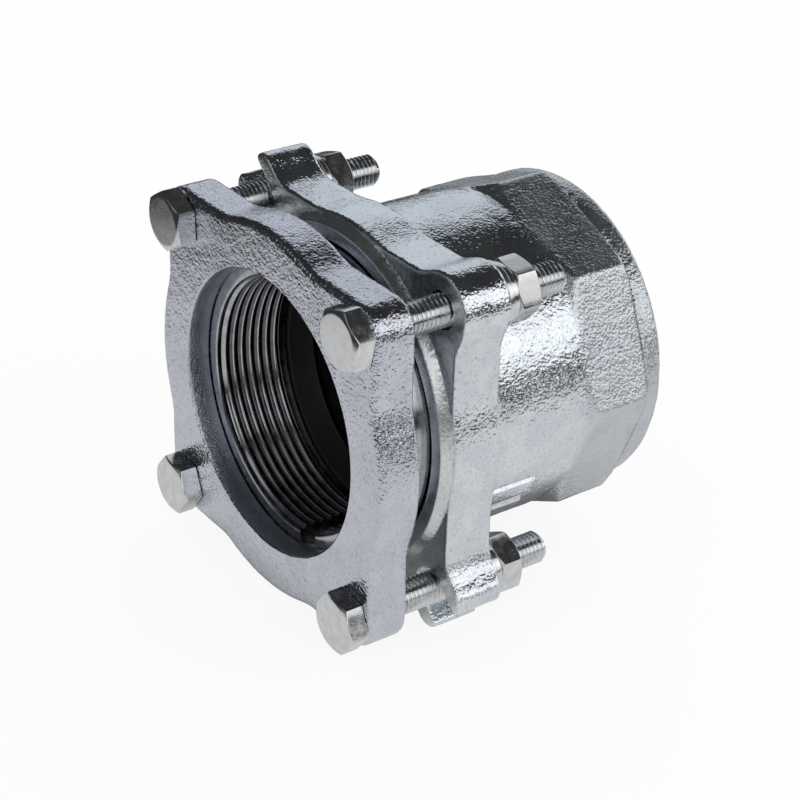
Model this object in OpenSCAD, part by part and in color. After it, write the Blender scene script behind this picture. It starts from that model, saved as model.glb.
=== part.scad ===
// Pipe clamp connector: a plain pipe end is pushed in at the clamp end and gripped,
// a threaded pipe is screwed in at the other end. All sizes in millimetres.
// The pipe axis is the Y axis. The threaded mouth is at Y = 0 and faces +Y,
// the clamp end is at the far negative Y, and +Z is up.
// Inside the modules a length is counted from the mouth towards the clamp,
// so a distance d from the mouth lies at Y = -d.

/* [Pipe and thread] */
// Outside diameter of the plain pipe that is gripped
pipe_d = 76.1; // [60:0.1:90]
// Diameter over the crests of the inside pipe thread
thread_d = 72.3; // [50:0.1:76]
// Length of the threaded bore
thread_len = 27; // [15:0.5:36]
// Distance between the crests of the pipe thread
thread_pitch = 2.309; // [1.4:0.001:2.6]
// Depth of the pipe thread
thread_h = 1.45; // [0.5:0.05:1.6]
// Play all round between the pipe and the short guide behind the seal
guide_play = 0.45; // [0.3:0.05:1.5]
// Play all round between the pipe and the hollow that its end reaches into
chamber_play = 5.95; // [3:0.05:7]

/* [Socket body] */
// Length of the body from the mouth to the face of its collar
socket_len = 85.8; // [75:0.1:110]
// Wall of the round neck round the hollow
neck_wall = 7.3; // [4:0.1:12]
// Depth of the octagon's flats below the surface of the neck
flat_cut = 0.7; // [0:0.1:2.5]
// Length of the octagon flats
octagon_len = 19.9; // [10:0.1:30]
// Length of the slope from the octagon's corners down to the neck
shoulder = 3.8; // [2:0.1:6]
// Length of the round bead at the mouth
bead_len = 7.5; // [5:0.1:12]
// Step from the neck down to the bead
bead_step = 0.3; // [0:0.1:2]
// Thickness of the body's flange
flange_t = 16.6; // [8:0.1:22]
// Set-back of the body's flange from the edge of the clamp flange
flange_step = 1.4; // [0:0.1:4]
// Height of the round bulges over the foot of the collar
bulge_step = 1.3; // [0.4:0.1:4]
// Radius of the two round lugs of the body's flange
lug_r = 11.5; // [10:0.1:16]
// Half width of the two slotted lugs
slot_lug_half = 12.4; // [10:0.1:18]
// Reach of the slotted lugs beyond the bolt centre
slot_lug_reach = 11.3; // [8:0.1:16]
// Corner radius of the slotted lugs
slot_lug_r = 5.5; // [3:0.1:7]
// Height of the collar above the flange face
collar_h = 3; // [1:0.1:6]
// Wall of the collar round the recess
collar_wall = 4.9; // [2:0.1:8]
// Outward slope of the collar from its face to its foot
collar_slope = 1.6; // [0.2:0.1:4]
// Play all round between the grip ring and the recess
recess_play = 0.7; // [0.3:0.05:1.5]
// Depth of the straight part of the recess
recess_depth = 14; // [12:0.1:16]
// Depth of the cone at the bottom of the recess
seat_depth = 6; // [4:0.1:9]
// Height of the raised pads on the neck
pad_h = 0.8; // [0.2:0.1:2]

/* [Clamp flange] */
// Thickness of the clamp flange
clamp_t = 14; // [11:0.1:20]
// Radius of the corners round the bolts
corner_r = 9.25; // [8:0.05:14]
// Width of the face between the opening and the round bulges
clamp_rim = 15.75; // [10:0.05:20]
// Step from the nose of the grip ring in to the opening
mouth_step = 0.15; // [0:0.05:2]
// Widening of the opening over its straight length
mouth_flare = 1.2; // [0.4:0.1:4]
// Length of the opening in front of the cone
mouth_len = 7.8; // [4:0.1:9]
// Width of the sloped edge round both flanges
edge = 1.6; // [0.5:0.1:2.5]
// Gap between the clamp flange and the collar as hand tightened
hand_gap = 11.2; // [8:0.1:14]

/* [Grip ring] */
// Play all round between the pipe and the tooth crests before tightening
grip_play = 0.95; // [0.5:0.05:2]
// Wall of the grip ring from the tooth crests to its outside
grip_wall = 8.2; // [5:0.1:12]
// Length of the grip ring
grip_len = 22; // [20:0.1:24]
// Narrowing of the ring's outside towards its nose
nose_drop = 3.3; // [2:0.1:5]
// Half angle of the cone between clamp flange and grip ring
cone_angle = 25; // [20:1:30]
// Space left square to the cone between clamp flange and grip ring
cone_gap = 0.35; // [0.3:0.01:0.6]
// Distance between the teeth
tooth_pitch = 3; // [2.5:0.1:3.2]
// Height of the teeth
tooth_h = 1; // [0.5:0.1:1.4]
// Width of the flat crest of each tooth
tooth_crest = 0.8; // [0.4:0.1:1.2]
// Length of the stepped entrance in front of the first tooth
entrance = 2.4; // [1.5:0.1:4]
// Number of teeth behind the first
tooth_count = 6; // [3:1:6]
// Width of the slit through the ring
slit = 8.4; // [3:0.1:15]
// Direction of the slit, seen from the clamp end
slit_angle = -73.5; // [-180:0.5:180]

/* [Thrust ring and seal] */
// Thickness of the thrust ring
thrust_t = 3; // [1.5:0.1:4]
// Play all round between the pipe and the thrust ring
thrust_play = 1.6; // [1.4:0.1:3]
// Space left between neighbouring rings
ring_gap = 0.3; // [0.2:0.05:0.5]
// Length of the seal
seal_len = 9.4; // [6:0.1:10]
// Space between the seal and the pipe before it is squeezed
seal_clearance = 0.5; // [0.1:0.1:2]

/* [Fasteners] */
// Room between the neck and the bolt centres
bolt_room = 13.4; // [12:0.1:20]
// Diameter of the bolts
bolt_d = 10; // [8:1:10]
// Length of the bolts under the head
bolt_len = 70; // [64:1:80]
// Distance between the crests of the bolt thread
bolt_pitch = 1.5; // [1:0.05:1.75]
// Depth of the bolt thread
bolt_thread_h = 0.8; // [0.4:0.05:1]
// Width across the flats of heads and nuts
hex_af = 17; // [14:0.5:18]
// Height of the bolt heads
head_h = 6.4; // [4:0.1:10]
// Height of the nuts
nut_h = 8; // [5:0.1:10]
// Play all round between a bolt and its hole or slot in the flanges
hole_play = 0.75; // [0.4:0.05:1.2]
// Width of the rim of a flat washer
washer_rim = 4.65; // [3.5:0.05:6]
// Thickness of the flat washers
washer_t = 2; // [1:0.1:3]
// Width of the section of a spring washer
spring_rim = 3.7; // [2.5:0.05:5]
// Thickness of the spring washers
spring_t = 2.4; // [1.5:0.1:3]
// Running play all round between bolt and nut
thread_play = 0.06; // [0.01:0.01:0.1]
// Play all round between bolt and washers
washer_play = 0.35; // [0.3:0.01:0.6]

/* [Hidden] */
$fn = 96;
pipe_r = pipe_d / 2;
thread_r = thread_d / 2;
guide_r = pipe_r + guide_play;
chamber_r = pipe_r + chamber_play;
neck_r = chamber_r + neck_wall;
bead_r = neck_r - bead_step;
octagon_out_r = (neck_r - flat_cut) / cos(22.5);
grip_r = pipe_r + grip_play;
grip_or = grip_r + grip_wall;
grip_front_r = grip_or - nose_drop;
recess_r = grip_or + recess_play;
collar_r = recess_r + collar_wall;
collar_foot_r = collar_r + collar_slope;
flange_disc_r = collar_foot_r + bulge_step;
mouth_r = grip_front_r - mouth_step;
lip_r = mouth_r + mouth_flare / 2;
clamp_disc_r = mouth_r + clamp_rim;
half_square = (neck_r + bolt_room) / sqrt(2);
clamp_half = half_square + corner_r;
flange_half = clamp_half - flange_step;
bolt_r = bolt_d / 2;
hole_r = bolt_r + hole_play;
washer_hole_r = bolt_r + washer_play;
washer_r = washer_hole_r + washer_rim;
spring_r = washer_hole_r + spring_rim;
hex_r = hex_af / 2 / cos(30);
collar_face = socket_len;
flange_front = collar_face - collar_h;
flange_back = flange_front - flange_t;
clamp_back = collar_face + hand_gap;
clamp_front = clamp_back + clamp_t;
seat_front = clamp_front - mouth_len;
octagon_front = bead_len + octagon_len;
recess_end = collar_face - recess_depth;
seat_end = recess_end - seat_depth;
guide_len = 6;
chamber_top = seat_end - guide_len;
lead_len = 0.9;
lead_h = 1.5;
thread_start = lead_len + 0.4;
thread_count = floor((thread_len - thread_start) / thread_pitch);
bolt_count = floor((bolt_len - 5.2) / bolt_pitch);
relief = 2;
stop_d = thread_len + 5;
grip_front = seat_front - ring_gap;
grip_back = grip_front - grip_len;
cone_len = nose_drop / tan(cone_angle);
seat_off = cone_gap / cos(cone_angle);
thrust_front = grip_back - ring_gap;
thrust_back = thrust_front - thrust_t;
thrust_r = pipe_r + thrust_play;
seal_front = thrust_back - ring_gap;
seal_back = seal_front - seal_len;
washer_back = flange_back - washer_t;
spring_back = washer_back - spring_t;
nut_back = spring_back - nut_h;
flank = tooth_h * tan(30);
first_tooth = grip_front - entrance;
head_turn = [33, 17, 53, 52];
nut_turn = [18, 51, 41, 29];
spring_cut = [120, 200, 40, 250];

// Lays a shape that stands on its own Z axis along the pipe axis,
// so that its height d comes out at Y = -d.
module lay() {
    rotate([90, 0, 0]) children();
}

// A solid of revolution from a list of [radius, distance from the mouth].
module turned(points) {
    rotate_extrude() polygon(points);
}

// The ridges of a thread as rings: n grooves of the given depth in the radius r,
// the first at distance a. A negative depth cuts inwards.
function ridges(r, depth, a, pitch, n) = [for (i = [0:n - 1])
    let (c = a + i * pitch)
    each [[r, c], [r + depth, c + 0.31 * pitch], [r + depth, c + 0.48 * pitch],
        [r, c + 0.79 * pitch]]];

// A round hole from distance a to distance b.
module hole(r, a, b) {
    translate([0, 0, a]) cylinder(r = r, h = b - a);
}

// One of the four bolt places: k is 0 upper left, 1 upper right,
// 2 lower left, 3 lower right, as seen from the clamp end.
module at_bolt(k) {
    sx = (k % 2 == 0) ? -1 : 1;
    sy = (k < 2) ? 1 : -1;
    translate([sx * half_square, sy * half_square, 0]) children();
}

// A disc with a sloped edge on both faces.
module edged_disc(r, a, b) {
    turned([[0, a], [r - edge, a], [r, a + edge], [r, b - edge], [r - edge, b], [0, b]]);
}

// A flat bar across the flange with sloped edges on its two ends.
module edged_bar(half, width, a, b) {
    translate([0, width / 2, 0]) rotate([90, 0, 0]) linear_extrude(width)
        polygon([[-half + edge, a], [half - edge, a], [half, a + edge],
            [half, b - edge], [half - edge, b], [-half + edge, b],
            [-half, b - edge], [-half, a + edge]]);
}

// The square plate with bulging sides that both flanges share.
module square_plate(half, disc_r, a, b) {
    edged_disc(disc_r, a, b);
    edged_bar(half, 2 * half_square, a, b);
    rotate([0, 0, 90]) edged_bar(half, 2 * half_square, a, b);
}

// A regular prism with its corners at 0 degrees and every full step on.
module prism(sides, r, a, b) {
    translate([0, 0, a]) linear_extrude(b - a)
        polygon([for (i = [0:sides - 1]) [r * cos(i * 360 / sides), r * sin(i * 360 / sides)]]);
}

// One slotted lug with sloped edges, pointing along +X from the bolt centre.
module slot_lug(a, b) {
    w = slot_lug_half;
    e = slot_lug_reach;
    edged_bar(e, 2 * (w - slot_lug_r), a, b);
    translate([(e - slot_lug_r) / 2 - 3, 0, 0]) rotate([0, 0, 90])
        edged_bar(w, e - slot_lug_r + 6, a, b);
    for (s = [-1, 1]) translate([e - slot_lug_r, s * (w - slot_lug_r), 0])
        edged_disc(slot_lug_r, a, b);
}

// The slot for the bolt, open outwards, with a sloped edge on the clamp side.
module slot_cut() {
    reach = slot_lug_reach + 5;
    hole(hole_r, flange_back - 1, flange_front + 1);
    translate([0, -hole_r, flange_back - 1]) cube([reach, 2 * hole_r, flange_t + 2]);
    rotate([90, 0, 90]) linear_extrude(reach)
        polygon([[-hole_r - edge, flange_front + 0.01], [hole_r + edge, flange_front + 0.01],
            [hole_r, flange_front - edge], [-hole_r, flange_front - edge]]);
}

// One raised pad on the neck, at the angle a, with sides that stand out radially.
module neck_pad(a, width, length) {
    intersection() {
        turned([[neck_r - 3, 0], [neck_r + pad_h, 0],
            [neck_r + pad_h, flange_back + 2], [neck_r - 3, flange_back + 2]]);
        rotate([0, 0, a]) translate([neck_r - 20, -width / 2, flange_back - length])
            cube([25, width, length + 1]);
    }
}

module body_outside() {
    turned([[0, flange_front - 1], [collar_foot_r, flange_front - 1],
        [collar_foot_r, flange_front], [collar_r, collar_face - 0.8],
        [collar_r - 0.8, collar_face], [0, collar_face]]);
    square_plate(flange_half, flange_disc_r, flange_back, flange_front);
    for (k = [1, 2]) at_bolt(k) edged_disc(lug_r, flange_back, flange_front);
    for (k = [0, 3]) at_bolt(k) rotate([0, 0, k == 0 ? 135 : -45])
        slot_lug(flange_back, flange_front);
    turned([[0, bead_len - 2], [neck_r - 3, bead_len - 2], [neck_r - 3, octagon_front],
        [neck_r, octagon_front + 2], [neck_r, flange_back - 2],
        [neck_r + 2, flange_back + 0.5], [0, flange_back + 0.5]]);
    intersection() {
        prism(8, octagon_out_r, bead_len, octagon_front + shoulder);
        turned([[0, bead_len], [octagon_out_r - 2, bead_len],
            [octagon_out_r + 0.2, bead_len + 1.8], [octagon_out_r + 0.2, octagon_front],
            [neck_r - 1, octagon_front + shoulder], [0, octagon_front + shoulder]]);
    }
    turned([[0, 0], [bead_r - 2.2, 0], [bead_r - 0.6, 0.8], [bead_r, 2.4],
        [bead_r, bead_len - 2.4], [bead_r - 1.4, bead_len], [0, bead_len + 1]]);
    neck_pad(-25, 6.6, 20.3);
    neck_pad(-35.5, 6.2, 19);
}

module body_inside() {
    turned(concat([[0, -1], [thread_r + lead_h, -1], [thread_r + lead_h, 0],
        [thread_r, lead_len]],
        ridges(thread_r, thread_h, thread_start, thread_pitch, thread_count),
        [[thread_r, thread_len], [thread_r + relief, thread_len + relief],
        [thread_r + relief, stop_d - relief], [thread_r, stop_d], [chamber_r - 1.5, stop_d],
        [chamber_r, stop_d + 1.5], [chamber_r, chamber_top - (chamber_r - guide_r)],
        [guide_r, chamber_top], [guide_r, seat_end], [recess_r, recess_end],
        [recess_r, collar_face - 0.6], [recess_r + 0.6, collar_face],
        [recess_r + 0.6, collar_face + 1], [0, collar_face + 1]]));
    for (k = [1, 2]) at_bolt(k) hole(hole_r, flange_back - 1, flange_front + 1);
    for (k = [0, 3]) at_bolt(k) rotate([0, 0, k == 0 ? 135 : -45]) slot_cut();
}

module socket_body() {
    color([0.72, 0.74, 0.76]) lay() difference() {
        body_outside();
        body_inside();
    }
}

module clamp_flange() {
    color([0.70, 0.70, 0.74]) lay() difference() {
        union() {
            square_plate(clamp_half, clamp_disc_r, clamp_back, clamp_front);
            for (k = [0:3]) at_bolt(k) edged_disc(corner_r, clamp_back, clamp_front);
        }
        turned([[0, clamp_back - 1], [seat_edge(clamp_back) + 1, clamp_back - 1],
            [seat_edge(clamp_back) + 1, clamp_back], [seat_edge(clamp_back + 1), clamp_back + 1],
            [seat_edge(seat_front), seat_front], [lip_r, seat_front],
            [mouth_r, clamp_front - 1.2], [mouth_r + 0.8, clamp_front],
            [mouth_r + 0.8, clamp_front + 1], [0, clamp_front + 1]]);
        for (k = [0:3]) at_bolt(k) hole(hole_r, clamp_back - 1, clamp_front + 1);
    }
}

// Radius of the cone in the clamp flange at distance d from the mouth.
function seat_edge(d) = grip_front_r + (grip_front - d) * tan(cone_angle) + seat_off;

// The inside line of the teeth: flat crests with a sloped flank on both sides.
function tooth_points() = [for (i = [0:tooth_count])
    let (c = first_tooth - i * tooth_pitch)
    each [[grip_r + tooth_h, c + flank], [grip_r, c],
        [grip_r, c - tooth_crest], [grip_r + tooth_h, c - tooth_crest - flank]]];

module grip_ring() {
    color([0.20, 0.20, 0.22]) lay() difference() {
        turned(concat([[grip_or, grip_back], [grip_or, grip_front - cone_len],
            [grip_front_r, grip_front], [grip_r + tooth_h + 0.4, grip_front],
            [grip_r + tooth_h, grip_front - 0.4]],
            tooth_points(), [[grip_r + tooth_h, grip_back]]));
        rotate([0, 0, slit_angle]) translate([grip_r - 5, -slit / 2, grip_back - 1])
            cube([grip_wall + 10, slit, grip_len + 2]);
    }
}

module thrust_ring() {
    color([0.62, 0.63, 0.65]) lay() turned([[thrust_r, thrust_back],
        [grip_or - 0.8, thrust_back], [grip_or, thrust_back + 0.8],
        [grip_or, thrust_front], [thrust_r, thrust_front]]);
}

// The seal follows the cone at the bottom of the recess, with a small space between.
module seal_ring() {
    inner = pipe_r + seal_clearance;
    slope = (recess_r - guide_r) / seat_depth;
    off = ring_gap * sqrt(1 + slope * slope);
    outer = recess_r - off;
    tip = outer - (recess_end - seal_back) * slope;
    color([0.08, 0.08, 0.09]) lay() turned([[inner, seal_back],
        [tip, seal_back], [outer, recess_end], [outer, seal_front],
        [inner, seal_front]]);
}

// A hexagon whose corners are trimmed by a cone at one end or at both.
module hex_piece(a, b, trim_a, trim_b) {
    r = hex_af / 2 - 0.4;
    out = hex_r + 1;
    rise = (out - r) * tan(30);
    intersection() {
        prism(6, hex_r, a, b);
        turned([[0, a], [trim_a ? r : out, a], [out, trim_a ? a + rise : a + 0.1],
            [out, trim_b ? b - rise : b - 0.1], [trim_b ? r : out, b], [0, b]]);
    }
}

module bolt(k) {
    tip = clamp_front - bolt_len;
    color([0.80, 0.81, 0.83]) lay() at_bolt(k) {
        rotate([0, 0, head_turn[k]])
            hex_piece(clamp_front, clamp_front + head_h, false, true);
        turned(concat([[0, tip], [bolt_r - 1, tip], [bolt_r, tip + 1]],
            ridges(bolt_r, -bolt_thread_h, tip + 1.2, bolt_pitch, bolt_count),
            [[bolt_r, clamp_front + 1], [0, clamp_front + 1]]));
    }
}

module nut(k) {
    bore = bolt_r + thread_play;
    color([0.80, 0.81, 0.83]) lay() at_bolt(k) difference() {
        rotate([0, 0, nut_turn[k]]) hex_piece(nut_back, spring_back, true, true);
        hole(bore, nut_back - 1, spring_back + 1);
    }
}

module flat_washer(k) {
    color([0.80, 0.81, 0.83]) lay() at_bolt(k) difference() {
        hole(washer_r, washer_back, flange_back);
        hole(washer_hole_r, washer_back - 1, flange_back + 1);
    }
}

module spring_washer(k) {
    color([0.80, 0.81, 0.83]) lay() at_bolt(k) difference() {
        hole(spring_r, spring_back, washer_back);
        hole(washer_hole_r, spring_back - 1, washer_back + 1);
        rotate([0, 0, spring_cut[k]]) translate([washer_hole_r - 1, -0.5, spring_back - 1])
            cube([spring_rim + 2, 1, spring_t + 2]);
    }
}

socket_body();
clamp_flange();
grip_ring();
thrust_ring();
seal_ring();
bolt(0);  // bolt_upper_left
bolt(1);  // bolt_upper_right
bolt(2);  // bolt_lower_left
bolt(3);  // bolt_lower_right
nut(0);  // nut_upper_left
nut(1);  // nut_upper_right
nut(2);  // nut_lower_left
nut(3);  // nut_lower_right
flat_washer(0);  // washer_upper_left
flat_washer(1);  // washer_upper_right
flat_washer(2);  // washer_lower_left
flat_washer(3);  // washer_lower_right
spring_washer(0);  // spring_washer_upper_left
spring_washer(1);  // spring_washer_upper_right
spring_washer(2);  // spring_washer_lower_left
spring_washer(3);  // spring_washer_lower_right
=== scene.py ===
"""Looks of a pipe clamp connector.

A threaded socket casting, a square clamp flange on four bolts, a toothed grip ring,
a thrust ring and a seal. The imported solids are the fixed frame. Shapes are worked out
in millimetres in the part's own plan: u to the right, v up and d away from the threaded
mouth, so that a plan point (u, v, d) stands at (u, -d, v) in the frame.
"""

import logging
import math
from dataclasses import KW_ONLY, dataclass
from enum import Enum, IntEnum
from functools import cache, reduce
from typing import Callable, Sequence

import bpy
import numpy as np
from mathutils import Matrix, Vector, noise


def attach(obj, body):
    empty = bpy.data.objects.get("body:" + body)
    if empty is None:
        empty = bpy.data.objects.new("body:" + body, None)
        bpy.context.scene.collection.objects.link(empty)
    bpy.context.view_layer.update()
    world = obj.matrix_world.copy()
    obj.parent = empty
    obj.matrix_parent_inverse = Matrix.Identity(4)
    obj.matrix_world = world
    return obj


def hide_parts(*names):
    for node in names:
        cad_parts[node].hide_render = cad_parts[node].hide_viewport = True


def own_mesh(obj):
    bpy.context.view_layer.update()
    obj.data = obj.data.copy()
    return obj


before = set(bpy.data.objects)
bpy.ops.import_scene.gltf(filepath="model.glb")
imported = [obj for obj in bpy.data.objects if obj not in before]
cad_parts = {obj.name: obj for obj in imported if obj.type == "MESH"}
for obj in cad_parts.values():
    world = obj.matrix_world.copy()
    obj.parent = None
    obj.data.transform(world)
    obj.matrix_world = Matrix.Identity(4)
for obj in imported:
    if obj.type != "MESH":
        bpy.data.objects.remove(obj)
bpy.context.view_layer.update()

LOG = logging.getLogger("connector")
MM = 0.001
TURN = 2 * math.pi
CELL = 0.9  # size of the cells that a casting's net is made on, in millimetres
WHITE = (1, 1, 1, 1)

Array = np.ndarray
Mesh = bpy.types.Mesh
Material = bpy.types.Material
Node = bpy.types.Node
Socket = bpy.types.NodeSocket
Tree = bpy.types.NodeTree
Field = Callable[[Array, Array, Array], Array]
Profile = Sequence[Sequence[float]]
Colour = tuple[float, float, float]
Spot = tuple[float, float]
Given = Array | float


@dataclass(frozen=True)
class Plan:
    """Sizes that several pieces share, in millimetres."""

    half_square: float = 45.75
    hole: float = 5.75
    flange_back: float = 66.2
    flange_front: float = 82.8
    collar_face: float = 85.8
    clamp_back: float = 97.0
    clamp_front: float = 111.0


PLAN = Plan()


class Corner(Enum):
    """The four bolt places, as seen from the clamp end: name, side, height."""

    UPPER_LEFT = ("upper_left", -1, 1)
    UPPER_RIGHT = ("upper_right", 1, 1)
    LOWER_LEFT = ("lower_left", -1, -1)
    LOWER_RIGHT = ("lower_right", 1, -1)

    @property
    def label(self) -> str:
        """The corner's name in the nodes."""
        return self.value[0]

    @property
    def nut_body(self) -> str:
        """The body of the nut at this corner."""
        return "nut_" + "".join(word[0] for word in self.label.split("_"))

    @property
    def centre(self) -> tuple[float, float]:
        """The bolt centre in the plan, in millimetres."""
        return self.value[1] * PLAN.half_square, self.value[2] * PLAN.half_square


ROUND_LUGS = (Corner.UPPER_RIGHT, Corner.LOWER_LEFT)
SLOTTED_LUGS = (Corner.UPPER_LEFT, Corner.LOWER_RIGHT)


class Area(IntEnum):
    """Parts of a casting's surface, as the numbers of its materials."""

    CAST = 0
    MACHINED = 1
    # the deep hollow and the mouth's wall, which are given painted shade
    INSIDE = 2
    FACE = 3


class Blend(Enum):
    """How two solids are joined."""

    JOIN = "UNION"
    CUT = "DIFFERENCE"


def place(points: Array) -> Array:
    """Turns plan points into frame points.

    Args:
        points: Rows of u, v and d in millimetres.

    Returns:
        Rows of x, y and z in metres.
    """
    return np.column_stack([points[:, 0], -points[:, 2], points[:, 1]]) * MM


def polar(radius: Given, angle: Given, d: Given, centre: Spot = (0.0, 0.0)) -> Array:
    """Plan points at a radius and an angle in radians round an axis, in rows."""
    u, v = centre[0] + radius * np.cos(angle), centre[1] + radius * np.sin(angle)
    return np.column_stack(np.broadcast_arrays(u, v, d))


def smooth_least(a: Array, b: Array, reach: float) -> Array:
    """The lesser of two distances, with a fillet where they are nearer than the reach."""
    h = np.maximum(reach - np.abs(a - b), 0) / reach
    return np.minimum(a, b) - h * h * reach / 4


def smooth_most(a: Array, b: Array, reach: float) -> Array:
    """The greater of two distances, with a rounded edge."""
    return -smooth_least(-a, -b, reach)


def within(a: Array, b: Array, corner: float) -> Array:
    """Distance to where two distances are both negative, with a round corner."""
    qa, qb = a + corner, b + corner
    outside = np.hypot(np.maximum(qa, 0), np.maximum(qb, 0))
    return outside + np.minimum(np.maximum(qa, qb), 0) - corner


def rounded_box(a: Array, b: Array, half_a: float, half_b: float, corner: float) -> Array:
    """Distance to a rounded rectangle given by its half widths, negative inside."""
    return within(np.abs(a) - half_a, np.abs(b) - half_b, corner)


def thick(outline: Array, d: Array, back: float, front: float, edge: float) -> Array:
    """Distance to a plate with rounded edges.

    Args:
        outline: Distance to its outline in the plan.
        d: Distance from the mouth.
        back: Where the plate begins.
        front: Where it ends.
        edge: Radius of its edges.
    """
    half = (front - back) / 2
    return within(outline, np.abs(d - back - half) - half, edge)


class Skin:
    """A mesh in plan millimetres: points and faces."""

    def __init__(self) -> None:
        """Starts empty."""
        self.points: list[Array] = []
        self.faces: list[Sequence[int]] = []
        self.count = 0

    def ring(self, rows: Array) -> int:
        """Adds one loop of points and returns the number of its first point."""
        first = self.count
        self.points.append(np.asarray(rows, float))
        self.count += len(rows)
        return first

    def strip(self, a: int, b: int, size: int, closed: bool = True) -> None:
        """Joins two loops of one size with quads, given their first points."""
        for i in range(size if closed else size - 1):
            j = (i + 1) % size
            self.faces.append((a + i, a + j, b + j, b + i))

    def tube(self, loops: Sequence[Array], around: bool = False) -> list[int]:
        """Adds loops of one size, each joined to the one before.

        Args:
            loops: Their points.
            around: Whether the last is joined to the first.

        Returns:
            The number of each loop's first point.
        """
        size = len(loops[0])
        firsts = [self.ring(rows) for rows in loops]
        for a, b in zip(firsts, firsts[1:]):
            self.strip(a, b, size)
        if around:
            self.strip(firsts[-1], firsts[0], size)
        return firsts

    def lid(self, first: int, size: int, flip: bool) -> None:
        """Closes a loop with one face."""
        rim = list(range(first, first + size))
        self.faces.append(rim[::-1] if flip else rim)

    def tip(self, first: int, size: int, row: Sequence[float], flip: bool) -> None:
        """Closes a loop with a fan to one point."""
        top = self.ring([row])
        for i in range(size):
            j = (i + 1) % size
            face = (first + i, first + j, top)
            self.faces.append(face[::-1] if flip else face)

    def mesh(self, name: str) -> Mesh:
        """Builds the Blender mesh, its faces pointing outwards.

        Args:
            name: Name of the mesh.

        Returns:
            The mesh in metres.
        """
        made = bpy.data.meshes.new(name)
        rows = place(np.vstack(self.points))
        made.from_pydata(rows.tolist(), [], [list(map(int, f)) for f in self.faces])
        made.update()
        if volume(made) < 0:
            made.flip_normals()
        return made


def threes(items: bpy.types.bpy_prop_collection, key: str, kind: type) -> Array:
    """Reads three numbers from each item of a mesh."""
    rows = np.empty(len(items) * 3, kind)
    items.foreach_get(key, rows)
    return rows.reshape(-1, 3)


def volume(made: Mesh) -> float:
    """The signed volume inside a closed mesh, in cubic metres."""
    made.calc_loop_triangles()
    points = threes(made.vertices, "co", float)
    a, b, c = (points[column] for column in threes(made.loop_triangles, "vertices", np.int32).T)
    return float(np.einsum("ij,ij->i", a, np.cross(b, c)).sum() / 6)


def turned(profile: Profile, steps: int = 192) -> Skin:
    """A closed solid of revolution about the pipe axis.

    Args:
        profile: Closed outline of radius and distance from the mouth; rows with
            radius 0 may stand at its two ends only.
        steps: Points round the axis.

    Returns:
        The skin.
    """
    skin = Skin()
    angle = np.arange(steps) * TURN / steps
    start, end = profile[0], profile[-1]
    solid = start[0] == 0
    firsts = skin.tube([polar(r, angle, d) for r, d in profile if r > 0], around=not solid)
    if solid:
        skin.tip(firsts[0], steps, (0, 0, start[1]), True)
        skin.tip(firsts[-1], steps, (0, 0, end[1]), False)
    return skin


def split_ring(
    section: Array, cut: float, gap: Given, steps: int, centre: Spot = (0.0, 0.0), rise: float = 0.0
) -> Skin:
    """A ring with a slit through one side.

    Args:
        section: Closed outline of radius and distance from the mouth.
        cut: Where the slit stands, in degrees.
        gap: Half of the slit in radians, one number or one for each row.
        steps: Steps round the ring.
        centre: Where its axis stands in the plan.
        rise: How far each end is set off along the axis.

    Returns:
        The skin.
    """
    radius, d = section.T
    skin = Skin()
    loops = []
    for k in range(steps + 1):
        angle = math.radians(cut) + gap + (TURN - 2 * gap) * k / steps
        loops.append(polar(radius, angle, d + rise * (2 * k / steps - 1), centre))
    firsts = skin.tube(loops)
    skin.lid(firsts[0], len(section), True)
    skin.lid(firsts[-1], len(section), False)
    return skin


def soft_profile(rows: Profile, edge: float, steps: int = 3) -> list[tuple[float, float]]:
    """Rounds the corners of a closed profile.

    Args:
        rows: Corners as radius and distance.
        edge: Radius of the rounding.
        steps: Points per corner, less one.

    Returns:
        The rounded profile.
    """
    out: list[tuple[float, float]] = []
    corners = [np.array(row, float) for row in rows]
    for i, here in enumerate(corners):
        before = corners[i - 1] - here
        after = corners[(i + 1) % len(corners)] - here
        reach = min(edge, 0.45 * np.linalg.norm(before), 0.45 * np.linalg.norm(after))
        a = here + before / np.linalg.norm(before) * reach
        b = here + after / np.linalg.norm(after) * reach
        for k in range(steps + 1):
            t = k / steps
            out.append(tuple((1 - t) ** 2 * a + 2 * t * (1 - t) * here + t * t * b))
    return out


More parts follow.
